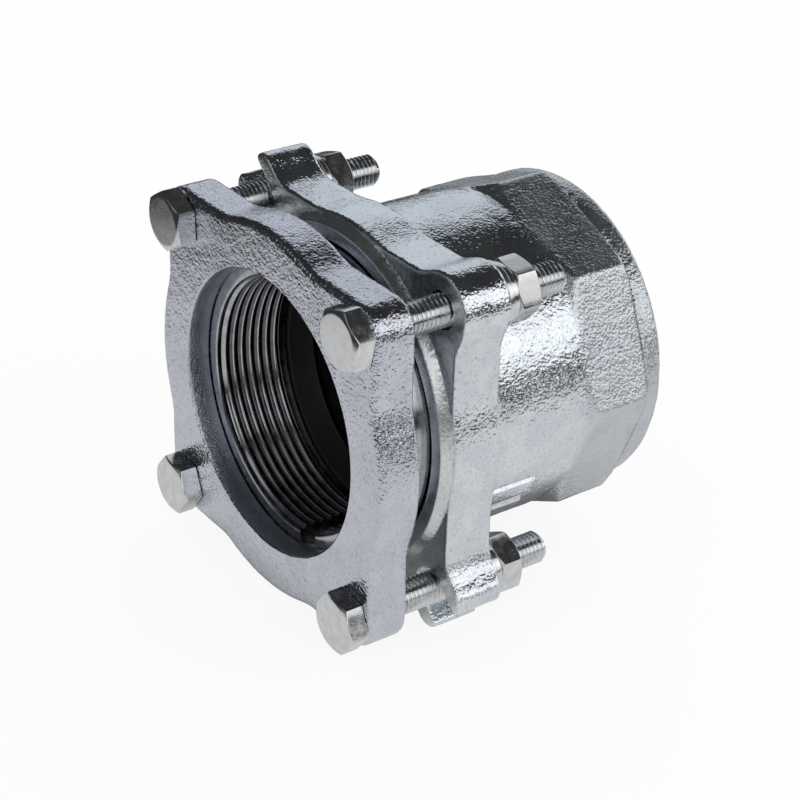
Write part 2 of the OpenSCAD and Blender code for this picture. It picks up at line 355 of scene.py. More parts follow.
def net(field: Field, low: Sequence[float], high: Sequence[float], step: float) -> Skin:
    """Puts a closed net of quads over a solid given by its distance.

    Args:
        field: Signed distance at plan points, negative inside.
        low: Lowest corner of the room to search.
        high: Highest corner.
        step: Size of the cells.

    Returns:
        The skin, its points moved on to the surface.
    """
    axes = [np.arange(a, b + step, step) for a, b in zip(low, high)]
    value = field(*np.meshgrid(*axes, indexing="ij"))
    inside = value < 0
    cells = tuple(n - 1 for n in value.shape)
    total = np.zeros(cells + (3,), np.float32)
    count = np.zeros(cells, np.float32)
    grids = np.meshgrid(*[np.arange(n, dtype=np.float32) for n in cells], indexing="ij")
    crossings = []
    for axis in range(3):
        upper = [slice(None)] * 3
        lower = [slice(None)] * 3
        upper[axis], lower[axis] = slice(1, None), slice(None, -1)
        first, second = value[tuple(lower)], value[tuple(upper)]
        mixed = inside[tuple(lower)] != inside[tuple(upper)]
        share = np.where(mixed, first / np.where(mixed, first - second, 1), 0)
        crossings.append((mixed, inside[tuple(lower)]))
        others = [k for k in range(3) if k != axis]
        for b in (0, 1):
            for c in (0, 1):
                part = [slice(None)] * 3
                part[others[0]] = slice(b, b + cells[others[0]])
                part[others[1]] = slice(c, c + cells[others[1]])
                hit = mixed[tuple(part)]
                total[..., axis] += hit * (grids[axis] + share[tuple(part)])
                total[..., others[0]] += hit * (grids[others[0]] + b)
                total[..., others[1]] += hit * (grids[others[1]] + c)
                count += hit
    used = count > 0
    number = np.full(cells, -1, np.int64)
    number[used] = np.arange(int(used.sum()))
    points = total[used] / count[used][:, None] * step + np.array(low)
    skin = Skin()
    skin.ring(on_surface(field, points))
    for axis, (mixed, start_inside) in enumerate(crossings):
        others = [(axis + 1) % 3, (axis + 2) % 3]
        hits = np.argwhere(mixed)
        good = np.ones(len(hits), bool)
        for k in others:
            good &= (hits[:, k] > 0) & (hits[:, k] < value.shape[k] - 1)
        hits = hits[good]
        corners = []
        for b, c in ((1, 1), (0, 1), (0, 0), (1, 0)):
            cell = hits.copy()
            cell[:, others[0]] -= b
            cell[:, others[1]] -= c
            corners.append(number[cell[:, 0], cell[:, 1], cell[:, 2]])
        quads = np.column_stack(corners)
        outwards = start_inside[hits[:, 0], hits[:, 1], hits[:, 2]]
        quads[~outwards] = quads[~outwards][:, ::-1]
        skin.faces.extend(quads.tolist())
    return skin


def slope(field: Field, points: Array, span: float = 0.05) -> tuple[Array, Array]:
    """Distance and direction of growth at some points.

    Args:
        field: Signed distance.
        points: Rows of u, v and d.
        span: Distance between the tries.

    Returns:
        The distances, and the gradients in rows.
    """
    here = field(*points.T)
    grads = []
    for k in range(3):
        ahead, behind = points.copy(), points.copy()
        ahead[:, k] += span
        behind[:, k] -= span
        grads.append((field(*ahead.T) - field(*behind.T)) / (2 * span))
    return here, np.column_stack(grads)


def on_surface(field: Field, points: Array, tries: int = 3) -> Array:
    """Moves points on to the surface of a field."""
    for _ in range(tries):
        here, grad = slope(field, points)
        size = np.maximum((grad**2).sum(axis=1), 0.05)
        points = points - grad * np.clip(here / size, -0.6, 0.6)[:, None]
    return points


def cast_waves(field: Field, skin: Skin, deep: float, fine: float) -> None:
    """Presses the waves and pits of a sand casting into a skin, inwards only.

    Args:
        field: The distance that the skin came from.
        skin: The skin to change.
        deep: Depth of the long waves in millimetres.
        fine: Depth of the short ones.
    """
    points = skin.points[0]
    _, grad = slope(field, points)
    grad /= np.maximum(np.linalg.norm(grad, axis=1), 1e-6)[:, None]
    depth = np.array(
        [
            deep * (0.5 + 0.5 * noise.noise(Vector(p) / 9.0))
            + fine * (0.5 + 0.5 * noise.noise(Vector(p) / 2.6 + Vector((7, 3, 1))))
            for p in points
        ]
    )
    skin.points[0] = points - grad * depth[:, None]


def as_object(name: str, made: Mesh) -> bpy.types.Object:
    """Puts a mesh into the scene under a name."""
    thing = bpy.data.objects.new(name, made)
    bpy.context.scene.collection.objects.link(thing)
    return thing


def combine(base: Mesh, other: Mesh, how: Blend) -> Mesh:
    """Joins a solid to another or cuts it away.

    Args:
        base: The solid that stays.
        other: The solid joined or cut.
        how: Which of the two.

    Returns:
        The new mesh.
    """
    points = len(base.vertices)
    first, second = as_object("work_base", base), as_object("work_other", other)
    step = first.modifiers.new("step", "BOOLEAN")
    step.operation = how.value
    step.solver = "MANIFOLD"
    step.object = second
    graph = bpy.context.evaluated_depsgraph_get()
    result = bpy.data.meshes.new_from_object(first.evaluated_get(graph))
    for thing in (first, second):
        spent = thing.data
        bpy.data.objects.remove(thing)
        bpy.data.meshes.remove(spent)
    if len(result.vertices) == points:
        raise RuntimeError(f"{how.value} changed nothing")
    return result


def face_centres(made: Mesh) -> Array:
    """Middle of each face in plan millimetres."""
    x, y, z = threes(made.polygons, "center", float).T / MM
    return np.column_stack([x, z, -y])


def dress(
    name: str,
    made: Mesh,
    finishes: Sequence["Look"],
    body: str,
    nodes: Sequence[str],
    sharp: float = 38,
) -> bpy.types.Object:
    """Makes a finished piece out of a mesh and hands it to the frame.

    Args:
        name: Name of the piece.
        made: Its mesh.
        finishes: Its looks, in the order of the faces' numbers.
        body: The body it rides on.
        nodes: The nodes it stands for.
        sharp: Angle in degrees above which an edge stays sharp.

    Returns:
        The piece.
    """
    piece = as_object(name, made)
    kinds = np.zeros(len(made.polygons), np.int32)
    made.polygons.foreach_get("material_index", kinds)
    made.materials.clear()
    for finish in finishes:
        made.materials.append(finish.material())
    made.polygons.foreach_set("material_index", kinds)
    made.polygons.foreach_set("use_smooth", [True] * len(made.polygons))
    made.set_sharp_from_angle(angle=math.radians(sharp))
    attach(piece, body)
    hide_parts(*nodes)
    LOG.info("%s: %d faces on %s", name, len(made.polygons), body)
    return piece


def paint(made: Mesh, kinds: Array) -> None:
    """Gives each face the number of its material."""
    made.polygons.foreach_set("material_index", kinds.astype(np.int32))


class Graph:
    """Short ways to put shader nodes into a tree."""

    def __init__(self, tree: Tree) -> None:
        """Keeps the tree."""
        self.tree = tree

    def add(self, kind: str, **settings: object) -> Node:
        """Adds a node and sets its properties."""
        node = self.tree.nodes.new(kind)
        for key, value in settings.items():
            setattr(node, key, value)
        return node

    def link(self, start: Socket, end: Socket) -> None:
        """Joins two sockets."""
        self.tree.links.new(start, end)

    def put(self, socket: Socket, value: object) -> None:
        """Sets a socket to a value or joins it to another socket."""
        if isinstance(value, Socket):
            self.link(value, socket)
        else:
            socket.default_value = value

    def set(self, node: Node, values: dict[str | int, object]) -> None:
        """Sets or joins inputs of a node, by name or number."""
        for key, value in values.items():
            self.put(node.inputs[key], value)

    def math(self, operation: str, a: object, b: object = 0.0) -> Socket:
        """Adds a Math node and returns its output."""
        node = self.add("ShaderNodeMath", operation=operation)
        self.set(node, {0: a, 1: b})
        return node.outputs[0]

    def times(self, a: object, b: object) -> Socket:
        """The product of two numbers."""
        return self.math("MULTIPLY", a, b)

    def plus(self, a: object, b: object) -> Socket:
        """The sum of two numbers."""
        return self.math("ADD", a, b)

    def most(self, a: object, b: object) -> Socket:
        """The greater of two numbers."""
        return self.math("MAXIMUM", a, b)

    def reach(self, value: object, middle: float, half: float) -> Socket:
        """How far a number lies outside a span, negative inside."""
        away = self.math("ABSOLUTE", self.plus(value, -middle))
        return self.math("SUBTRACT", away, half)

    def spot(self, kind: str = "Object") -> Socket:
        """The texture coordinate of one kind."""
        return self.add("ShaderNodeTexCoord").outputs[kind]

    def axes(self, kind: str = "Object") -> Sequence[Socket]:
        """The three numbers of a texture coordinate."""
        parts = self.add("ShaderNodeSeparateXYZ")
        self.link(self.spot(kind), parts.inputs[0])
        return parts.outputs

    def grain(self, where: object, scale: object, detail: float, rough: float) -> Socket:
        """Adds a noise texture and returns its grey value."""
        node = self.add("ShaderNodeTexNoise")
        self.set(node, {"Vector": where, "Scale": scale, "Detail": detail, "Roughness": rough})
        return node.outputs["Fac"]

    def steps(
        self, value: object, low: float, high: float, out_low: object = 0, out_high: object = 1
    ) -> Socket:
        """Maps a range of values smoothly on to another."""
        node = self.add("ShaderNodeMapRange", interpolation_type="SMOOTHSTEP")
        self.set(node, {0: value, 1: low, 2: high, 3: out_low, 4: out_high})
        return node.outputs[0]

    def window(self, value: object, low: float, high: float, soft: float) -> Socket:
        """A mask that is 1 between two values, with soft edges inside them."""
        rise = self.steps(value, low, low + soft)
        return self.times(rise, self.steps(value, high - soft, high, 1.0, 0.0))

    def mix(self, share: object, a: object, b: object, how: str = "MIX") -> Socket:
        """Mixes two colours."""
        node = self.add("ShaderNodeMix", data_type="RGBA", blend_type=how)
        self.set(node, {0: share, 6: a, 7: b})
        return node.outputs[2]

    def glow(self, kind: str, colour: object) -> Socket:
        """Adds a shader that gives off light of a colour."""
        node = self.add(kind)
        self.set(node, {"Color": colour})
        return node.outputs[0]

    def insert(self, tree: Tree, settings: dict[str, float]) -> Sequence[Socket]:
        """Adds a node group with its settings and returns its outputs."""
        node = self.add("ShaderNodeGroup", node_tree=tree)
        self.set(node, settings)
        return node.outputs

    def blend(self, share: Socket, first: Socket, second: Socket) -> Socket:
        """Mixes two shaders."""
        node = self.add("ShaderNodeMixShader")
        self.set(node, {0: share, 1: first, 2: second})
        return node.outputs[0]


def group(name: str, inputs: dict[str, float], outputs: Sequence[str]) -> Tree:
    """Starts a shader group with named number inputs and outputs.

    Args:
        name: Name of the group.
        inputs: Names and first values.
        outputs: Names of the numbers it gives.

    Returns:
        The tree, with its group input and output nodes.
    """
    tree = bpy.data.node_groups.new(name, "ShaderNodeTree")
    for key, value in inputs.items():
        made = tree.interface.new_socket(key, in_out="INPUT", socket_type="NodeSocketFloat")
        made.default_value = value
    for key in outputs:
        tree.interface.new_socket(key, in_out="OUTPUT", socket_type="NodeSocketFloat")
    tree.nodes.new("NodeGroupInput")
    tree.nodes.new("NodeGroupOutput")
    return tree


@cache
def cast_skin_group() -> Tree:
    """The orange peel, pits and specks that every plated casting shows.

    Returns:
        The group: Height for a bump, Specks and Clouds as masks.
    """
    tree = group("cast_skin", {"Grain Size": 1.1, "Pits": 0.5}, ["Height", "Specks", "Clouds"])
    g = Graph(tree)
    given, out = tree.nodes["Group Input"].outputs, tree.nodes["Group Output"].inputs
    where = g.spot()
    scale = g.math("DIVIDE", 1 / MM, given["Grain Size"])
    peel = g.grain(where, scale, detail=1.5, rough=0.5)
    coarse = g.grain(where, g.times(scale, 0.31), detail=2.0, rough=0.5)
    cell = g.add("ShaderNodeTexVoronoi", feature="SMOOTH_F1")
    g.set(cell, {"Vector": where, "Scale": g.times(scale, 0.62)})
    pits = g.steps(cell.outputs["Distance"], 0.0, 0.45)
    waves = g.plus(g.times(peel, 0.8), g.times(coarse, 0.7))
    pitted = g.times(pits, g.times(given["Pits"], 0.35))
    specks = g.grain(where, g.times(scale, 0.8), detail=4.0, rough=0.7)
    clouds = g.grain(where, 90.0, detail=3.0, rough=0.6)
    g.link(g.plus(waves, pitted), out["Height"])
    g.link(g.steps(specks, 0.52, 0.66), out["Specks"])
    g.link(g.steps(clouds, 0.38, 0.64), out["Clouds"])
    return tree


@cache
def plated_skin_group() -> Tree:
    """Fine scratches and blooms of plated steel.

    Returns:
        The group: Height for a bump and Bloom as a mask.
    """
    tree = group("plated_skin", {"Line Size": 0.25, "Bloom Size": 4.0}, ["Height", "Bloom"])
    g = Graph(tree)
    given, out = tree.nodes["Group Input"].outputs, tree.nodes["Group Output"].inputs
    where = g.spot()
    fine = g.grain(where, g.math("DIVIDE", 1 / MM, given["Line Size"]), detail=2.0, rough=0.6)
    broad = g.grain(where, g.math("DIVIDE", 1 / MM, given["Bloom Size"]), detail=3.0, rough=0.6)
    g.link(g.plus(fine, g.times(broad, 1.5)), out["Height"])
    g.link(g.steps(broad, 0.36, 0.66), out["Bloom"])
    return tree


@dataclass(frozen=True)
class Finish:
    """A material: two tones, a roughness and the depth of its bump in millimetres."""

    bright: Colour
    shade: Colour
    roughness: float
    bump: float
    _: KW_ONLY
    metallic: float = 1.0

    def coat(self, g: Graph, colour: Socket, rough: Socket, height: Socket) -> None:
        """Joins colour, roughness and height to the shader."""
        shader = g.tree.nodes["Principled BSDF"]
        g.set(shader, {"Metallic": self.metallic})
        bump = g.add("ShaderNodeBump")
        g.set(bump, {"Strength": 1.0, "Distance": self.bump * MM, "Height": height})
        normal = bump.outputs["Normal"]
        g.set(shader, {"Base Color": colour, "Roughness": rough, "Normal": normal})


@dataclass(frozen=True)
class CastFinish(Finish):
    """Zinc plated rough casting, rougher in a zone along the pipe axis.

    In the zone its bump is multiplied and its roughness raised. The corner shade is a
    line of painted shade round the casting. Both are given in metres along the axis.
    """

    grain: float
    pits: float
    rough_zone: tuple[float, float] = (1.0, 2.0)
    rough_gain: float = 1.0
    rough_more: float = 0.0
    seam: float = 0.0

    def wire(self, g: Graph) -> None:
        """Puts the finish into a material's graph."""
        cast = g.insert(cast_skin_group(), {"Grain Size": self.grain, "Pits": self.pits})
        height, specks, clouds = (cast[key] for key in ("Height", "Specks", "Clouds"))
        along = g.axes()[1]
        zone = g.steps(along, *self.rough_zone)
        rough = g.plus(g.times(clouds, 0.05), self.roughness)
        rough = g.plus(rough, g.times(zone, self.rough_more))
        # seam: a line of painted shade in the concave corner where the octagon meets the bead
        line = g.math("ABSOLUTE", g.plus(along, self.seam))
        seam = g.steps(line, 0.3 * MM, 0.9 * MM, 0.85, 0.0)
        flecks = g.most(g.times(specks, 0.35), g.times(zone, 0.26))
        tone = g.mix(clouds, (*self.shade, 1), (*self.bright, 1))
        dark = tuple(0.4 * c for c in self.shade)
        colour = g.mix(g.most(flecks, seam), tone, (*dark, 1))
        deeper = g.plus(g.times(zone, self.rough_gain - 1), 1.0)
        self.coat(g, colour, rough, g.times(height, deeper))


@dataclass(frozen=True)
class PlatedFinish(Finish):
    """Turned or rolled steel, plated or oiled, rubber, and dark painted shade in hollows; sizes in
    millimetres.
    """

    line: float = 0.25
    bloom: float = 4.0

    def wire(self, g: Graph) -> None:
        """Puts the finish into a material's graph."""
        plate = g.insert(plated_skin_group(), {"Line Size": self.line, "Bloom Size": self.bloom})
        colour = g.mix(plate["Bloom"], (*self.shade, 1), (*self.bright, 1))
        rough = g.plus(g.times(plate["Bloom"], 0.1), self.roughness)
        self.coat(g, colour, rough, plate["Height"])


class Look(Enum):
    """The materials: bright and shaded tone, roughness, bump, then what each kind adds."""

    BODY_CAST = CastFinish(
        (0.80, 0.85, 0.89), (0.72, 0.76, 0.81), 0.08, 0.24, 0.85, 0.6,
        # the painted corner shade stands 7.9 mm from the mouth, where the octagon meets the bead
        rough_zone=(-0.033, -0.027), rough_gain=1.5, rough_more=0.17, seam=0.0079,
    )
    BODY_FACE = CastFinish((0.78, 0.82, 0.82), (0.70, 0.74, 0.74), 0.26, 0.12, 0.8, 0.3)
    BODY_MACHINED = PlatedFinish((0.72, 0.75, 0.76), (0.62, 0.64, 0.66), 0.22, 0.006)
    # near black base: painted shade of the deep bore, whose plating is as light as the rest
    BODY_INSIDE = PlatedFinish((0.014, 0.014, 0.015), (0.009, 0.009, 0.010), 0.4, 0.02)
    CLAMP_CAST = CastFinish((0.68, 0.70, 0.78), (0.62, 0.64, 0.71), 0.06, 0.34, 0.85, 0.5)
    # rough cast wall of the mouth; its tone, darker than the outside, is painted shade of the
    # recess
    CLAMP_WALL_SHADED = CastFinish((0.52, 0.56, 0.65), (0.44, 0.47, 0.55), 0.36, 0.30, 0.55, 0.3)
    CLAMP_MACHINED = PlatedFinish((0.34, 0.35, 0.39), (0.26, 0.27, 0.30), 0.2, 0.004)
    RING_DARK_STEEL = PlatedFinish((0.56, 0.57, 0.60), (0.42, 0.43, 0.45), 0.12, 0.003)
    # dark grooves between the teeth: painted shade of the hidden tooth roots
    RING_ROOT_SHADE = PlatedFinish((0.16, 0.16, 0.17), (0.10, 0.10, 0.11), 0.2, 0.004)
    RING_BRIGHT_STEEL = PlatedFinish((0.20, 0.20, 0.21), (0.14, 0.14, 0.15), 0.25, 0.004)
    SEAL_RUBBER = PlatedFinish(
        (0.008, 0.008, 0.009), (0.005, 0.005, 0.006), 0.6, 0.01, metallic=0.0
    )
    BOLT_BRIGHT_ZINC = PlatedFinish(
        (0.80, 0.81, 0.82), (0.68, 0.69, 0.70), 0.12, 0.02, line=0.5, bloom=3.0
    )

    @cache
    def material(self) -> Material:
        """The material, built when it is first asked for."""
        made = bpy.data.materials.new(self.name.lower())
        made.use_nodes = True
        self.value.wire(Graph(made.node_tree))
        return made


COLLAR = (
    (0, 78.0), (54.0, 78.0), (54.4, PLAN.flange_front), (52.8, 85.1), (52.5, 85.6),
    (52.0, PLAN.collar_face), (0, PLAN.collar_face),
)
"""The collar: foot, slope, rolled edge and face, as radius and distance."""

BORE = (
    (38.15, 29), (38.15, 30), (36.15, 32), (42.5, 32), (44, 33.5), (44, 54.3), (38.5, 59.8),
    (38.5, 65.8), (47.9, 71.8), (47.9, 85.2), (48.5, PLAN.collar_face), (48.5, 86.8),
)
"""Behind the thread: relief, stop, hollow, guide, cone and recess, up to past the collar."""


@dataclass
class SocketCasting:
    """The socket body: flange with slotted lugs, collar, neck, octagon and bead.

    The foot is given as radius, middle and half length, each pad as angle, width and
    length. The waist starts that far past the octagon's end and grows over that length.
    """

    flange_half: float = 53.6
    flange_corner: float = 9.0
    disc: float = 55.7
    round_lug: float = 11.5
    slot_half: float = 12.4
    slot_reach: float = 11.3
    slot_corner: float = 5.5
    lug_fillet: float = 4.0
    edge: float = 1.3
    foot: tuple[float, float, float] = (53.7, 80.0, 3.2)
    neck: float = 51.3
    neck_span: tuple[float, float] = (4.0, 75.0)
    neck_fillet: float = 4.5
    waist: float = 1.5
    waist_span: tuple[float, float] = (8.0, 10.0)
    octagon: float = 54.77
    octagon_end: float = 27.4
    octagon_edge: float = 0.9
    octagon_core: float = 50.0
    bead: float = 51.0
    bead_len: float = 7.5
    bead_corner: float = 2.6
    pads: tuple[tuple[float, float, float], ...] = ((-25, 6.6, 20.3), (-35.5, 6.2, 19))
    pad_corner: float = 0.8
    pad_rise: float = 0.95
    thread_pitch: float = 2.309
    thread_root: float = 37.62
    thread_depth: float = 1.45
    thread_len: float = 27.0
    thread_fade: float = 2.5

    def outline(self, u: Array, v: Array) -> Array:
        """Distance to the flange's outline in the plan."""
        square = rounded_box(u, v, self.flange_half, self.flange_half, self.flange_corner)
        shape = smooth_least(square, np.hypot(u, v) - self.disc, 1.4)
        for corner in ROUND_LUGS:
            cu, cv = corner.centre
            lug = np.hypot(u - cu, v - cv) - self.round_lug
            shape = smooth_least(shape, lug, self.lug_fillet)
        for corner in SLOTTED_LUGS:
            cu, cv = corner.centre
            su, sv = np.sign(cu), np.sign(cv)
            out = ((u - cu) * su + (v - cv) * sv) / math.sqrt(2)
            across = ((u - cu) * sv - (v - cv) * su) / math.sqrt(2)
            lug = rounded_box(out, across, self.slot_reach, self.slot_half, self.slot_corner)
            shape = smooth_least(shape, lug, self.lug_fillet)
            slot = np.where(out > 0, np.abs(across), np.hypot(out, across)) - PLAN.hole
            shape = smooth_most(shape, -slot, 1.6)
        return shape

    def field(self, u: Array, v: Array, d: Array) -> Array:
        """Distance to the cast outside."""
        r = np.hypot(u, v)
        flange = thick(self.outline(u, v), d, PLAN.flange_back, PLAN.flange_front, self.edge)
        foot, middle, half = self.foot
        flange = smooth_least(flange, np.maximum(r - foot, np.abs(d - middle) - half), 1.6)
        behind, length = self.waist_span
        fall = np.clip((self.octagon_end + behind - d) / length, 0, 1)
        start, end = self.neck_span
        waist = self.neck - self.waist * fall * fall
        tube = np.maximum(r - waist, np.maximum(start - d, d - end))
        neck = smooth_least(tube, self.octagon_field(u, v, d, r), 0.7)
        half = self.bead_len / 2 + 0.2
        bead = rounded_box(r, d - self.bead_len / 2 - 0.2, self.bead, half, self.bead_corner)
        neck = smooth_least(neck, np.maximum(bead, -d), 0.5)
        neck = smooth_least(neck, self.pad_field(u, v, d, r), 0.3)
        return smooth_least(flange, neck, self.neck_fillet)

    def octagon_field(self, u: Array, v: Array, d: Array, r: Array) -> Array:
        """Distance to the octagon with its turned shoulders."""
        apothem = self.octagon * math.cos(math.radians(22.5))
        turns = [math.radians(22.5 + 45 * k) for k in range(8)]
        sides = [u * math.cos(t) + v * math.sin(t) - apothem for t in turns]
        flats = reduce(lambda a, b: smooth_most(a, b, self.octagon_edge), sides)
        front = (r - self.octagon - 0.2) * 0.631 + (d - self.octagon_end) * 0.776
        back = (self.bead_len - d) * 0.75 + (r - self.octagon + 2.0) * 0.66
        shape = smooth_most(flats, front, 0.7)
        shape = smooth_most(shape, np.maximum(back, self.bead_len - d), 1.2)
        return np.maximum(shape, d - self.octagon_core)

    def pad_field(self, u: Array, v: Array, d: Array, r: Array) -> Array:
        """Distance to the two raised pads on the neck."""
        found = []
        for angle, width, length in self.pads:
            t = math.radians(angle)
            across = -u * math.sin(t) + v * math.cos(t)
            along = d - PLAN.flange_back + length / 2 - 1
            side = rounded_box(across, along, width / 2, length / 2 + 1, self.pad_corner)
            pad = smooth_most(side, r - self.neck - self.pad_rise, 0.4)
            found.append(np.maximum(pad, -(u * math.cos(t) + v * math.sin(t))))
        return reduce(np.minimum, found)

    def inside(self) -> Skin:
        """The bore with its helical pipe thread, hollow, guide, cone and recess."""
        steps, chamfer, low, high = 160, 1.5, -1.0, BORE[-1][1]
        angle = np.arange(steps) * TURN / steps
        loops = [polar(38.6, angle, low), polar(38.0, angle, -0.02)]
        for d in np.arange(0.0, self.thread_len + 0.01, self.thread_pitch / 8):
            turn = (d / self.thread_pitch - angle / TURN) % 1.0
            tooth = np.clip(np.abs(turn * 2 - 1) * 1.35 - 0.15, 0, 1)
            fade = min(1.0, max(0.0, (self.thread_len - d) / self.thread_fade))
            ridge = self.thread_root + self.thread_depth * (tooth - 1) * fade
            loops.append(polar(np.maximum(ridge, 37.65 - d if d < chamfer else 0), angle, d))
        loops += [polar(r, angle, d) for r, d in BORE]
        skin = Skin()
        firsts = skin.tube(loops)
        skin.tip(firsts[0], steps, (0, 0, low), True)
        skin.tip(firsts[-1], steps, (0, 0, high), False)
        return skin

    def areas(self, made: Mesh) -> Array:
        """The area that each face belongs to."""
        thread_edge, guide_edge, recess_edge, face_edge, slope_edge = 38.7, 45.0, 48.6, 52.3, 54.45
        hollow_start, cone_start, guide_start, cone_end = 31.0, 58.0, 60.0, 72.0
        u, v, d = face_centres(made).T
        r = np.hypot(u, v)
        thread = (r < thread_edge) & (d < hollow_start)
        # the hollow behind the thread gets the painted shade of the deep bore
        hollow = (d >= hollow_start) & (d < cone_end)
        hollow &= r < np.where(d < guide_start, guide_edge, 47.5)
        bore = thread | hollow | ((r < recess_edge) & (d > cone_start))
        areas = np.where(hollow, Area.INSIDE, np.where(bore, Area.MACHINED, Area.CAST))
        collar = (d > PLAN.flange_front + 0.15) & ~bore
        areas[(r < slope_edge) & collar] = Area.FACE
        areas[(r < face_edge) & collar] = Area.MACHINED
        areas[(r > slope_edge) & (d > PLAN.flange_front - 0.5)] = Area.FACE
        return areas

    def build(self) -> None:
        """Builds and dresses the casting."""
        skin = net(self.field, (-62, -62, -2), (62, 62, 88), CELL)
        cast_waves(self.field, skin, deep=0.22, fine=0.16)
        made = combine(skin.mesh("socket_cast"), turned(COLLAR).mesh("collar"), Blend.JOIN)
        made = combine(made, self.inside().mesh("bore"), Blend.CUT)
        for corner in ROUND_LUGS:
            made = combine(made, bolt_hole(corner, 60, 90), Blend.CUT)
        paint(made, self.areas(made))
        finishes = (Look.BODY_CAST, Look.BODY_MACHINED, Look.BODY_INSIDE, Look.BODY_FACE)
        dress("socket_casting", made, finishes, "socket", ["socket_body"])


def bolt_hole(corner: Corner, start: float, end: float) -> Mesh:
    """A round bolt hole through a flange at a corner."""
    skin = turned(((0, start), (PLAN.hole, start), (PLAN.hole, end), (0, end)), 48)
    for rows in skin.points:
        rows[:, :2] += corner.centre
    return skin.mesh("bolt_hole")


MOUTH = (
    (0, 95.0), (48.0, 95.0), (47.04, PLAN.clamp_back), (44.15, 103.2), (44.35, 103.2),
    (43.75, 109.8), (44.0, 110.5), (44.55, PLAN.clamp_front), (45.5, 112.0), (0, 112.0),
)
"""The clamp flange's opening: cone for the ring, cast wall and rounded lip."""


@dataclass
class ClampFlange:
    """The square clamp flange with bulging sides."""

    half: float = 55.0
    corner: float = 9.25
    disc: float = 59.5
    edge: float = 2.2

    def field(self, u: Array, v: Array, d: Array) -> Array:
        """Distance to the cast outside."""
        square = rounded_box(u, v, self.half, self.half, self.corner)
        outline = smooth_least(square, np.hypot(u, v) - self.disc, 1.6)
        return thick(outline, d, PLAN.clamp_back, PLAN.clamp_front, self.edge)

    def build(self) -> None:
        """Builds and dresses the flange."""
        cone_edge, cone_end, wall_edge, wall_end = 47.3, 103.3, 44.2, 110.2
        skin = net(self.field, (-61, -61, 95), (61, 61, 113), CELL)
        cast_waves(self.field, skin, deep=0.16, fine=0.12)
        made = combine(skin.mesh("clamp_cast"), turned(MOUTH).mesh("mouth"), Blend.CUT)
        for corner in Corner:
            made = combine(made, bolt_hole(corner, 90, 115), Blend.CUT)
        u, v, d = face_centres(made).T
        r = np.hypot(u, v)
        # the mouth's wall gets its rough cast finish and painted shade
        wall = np.where((r < wall_edge) & (d < wall_end), Area.INSIDE, Area.CAST)
        paint(made, np.where((r < cone_edge) & (d < cone_end), Area.MACHINED, wall))
        finishes = (Look.CLAMP_CAST, Look.CLAMP_MACHINED, Look.CLAMP_WALL_SHADED)
        dress("clamp_flange_casting", made, finishes, "clamp", ["clamp_flange"])


@dataclass
class GripRing:
    """The split ring with its teeth."""

    bore: float = 39.0
    outside: float = 47.2
    nose: float = 43.9
    back: float = 80.9
    front: float = 102.9
    tooth: float = 1.0
    crest: float = 0.8
    pitch: float = 3.0
    teeth: int = 7
    entrance: float = 2.4
    slit: float = 8.4
    slit_angle: float = -73.5

    def profile(self) -> list[tuple[float, float]]:
        """The ring's section, teeth inwards, their edges rounded."""
        bore, outside, nose, front = self.bore, self.outside, self.nose, self.front
        shoulder = front - (outside - nose) / math.tan(math.radians(25))
        root, flank = bore + self.tooth, self.tooth * math.tan(math.radians(30))
        rows = [
            (outside - 0.4, self.back), (outside, self.back + 0.4), (outside, shoulder - 0.2),
            (outside - 0.1, shoulder + 0.2), (nose + 0.25, front - 0.5),
            (nose - 0.1, front - 0.08), (nose - 0.5, front), (root + 0.55, front),
            (root + 0.4, front - 0.05), (root + 0.04, front - 0.36), (root, front - 0.5),
        ]
        half = (
            (root, flank + 0.08), (root - 0.1, flank - 0.05), (bore + 0.3, 0.0),
            (bore + 0.08, -0.17), (bore, -0.32),
        )
        for k in range(self.teeth):
            crest = front - self.entrance - k * self.pitch
            rows += [(r, crest + off) for r, off in half]
            rows += [(r, crest - self.crest - off) for r, off in half[::-1]]
        return rows + [(root, self.back + 0.15), (root + 0.15, self.back)]

    def build(self) -> None:
        """Builds and dresses the ring."""
        section = np.array(self.profile())
        gap = np.arcsin(self.slit / 2 / section[:, 0])
        made = split_ring(section, self.slit_angle, gap, 180).mesh("grip")
        u, v, d = face_centres(made).T
        r = np.hypot(u, v)
        # painted shade on the tooth roots and flanks
        root_shade_mask = (r > self.bore + 0.35) & (r < self.bore + self.tooth + 0.05)
        root_shade_mask &= (d < self.front - self.entrance + 0.1) & (d > self.back + 0.2)
        paint(made, root_shade_mask)
        finishes = (Look.RING_DARK_STEEL, Look.RING_ROOT_SHADE)
        dress("toothed_grip_ring", made, finishes, "rings", ["grip_ring"], 33)


@dataclass
class InnerRings:
    """The thrust ring and the seal behind the grip ring."""

    thrust: Profile = ((39.65, 77.6), (47.2, 77.6), (47.2, 80.6), (39.65, 80.6))
    seal: Profile = ((38.55, 67.9), (41.23, 67.9), (47.34, 71.8), (47.34, 77.3), (38.55, 77.3))

    def build(self) -> None:
        """Builds and dresses both rings."""
        made = turned(soft_profile(self.thrust, 0.5)).mesh("thrust")
        finishes = (Look.RING_BRIGHT_STEEL,)
        dress("thrust_washer_ring", made, finishes, "rings", ["thrust_ring"])
        made = turned(soft_profile(self.seal, 0.8)).mesh("seal")
        finishes = (Look.SEAL_RUBBER,)
        piece = dress("rubber_seal_ring", made, finishes, "socket", ["seal_ring"])
        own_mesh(piece)


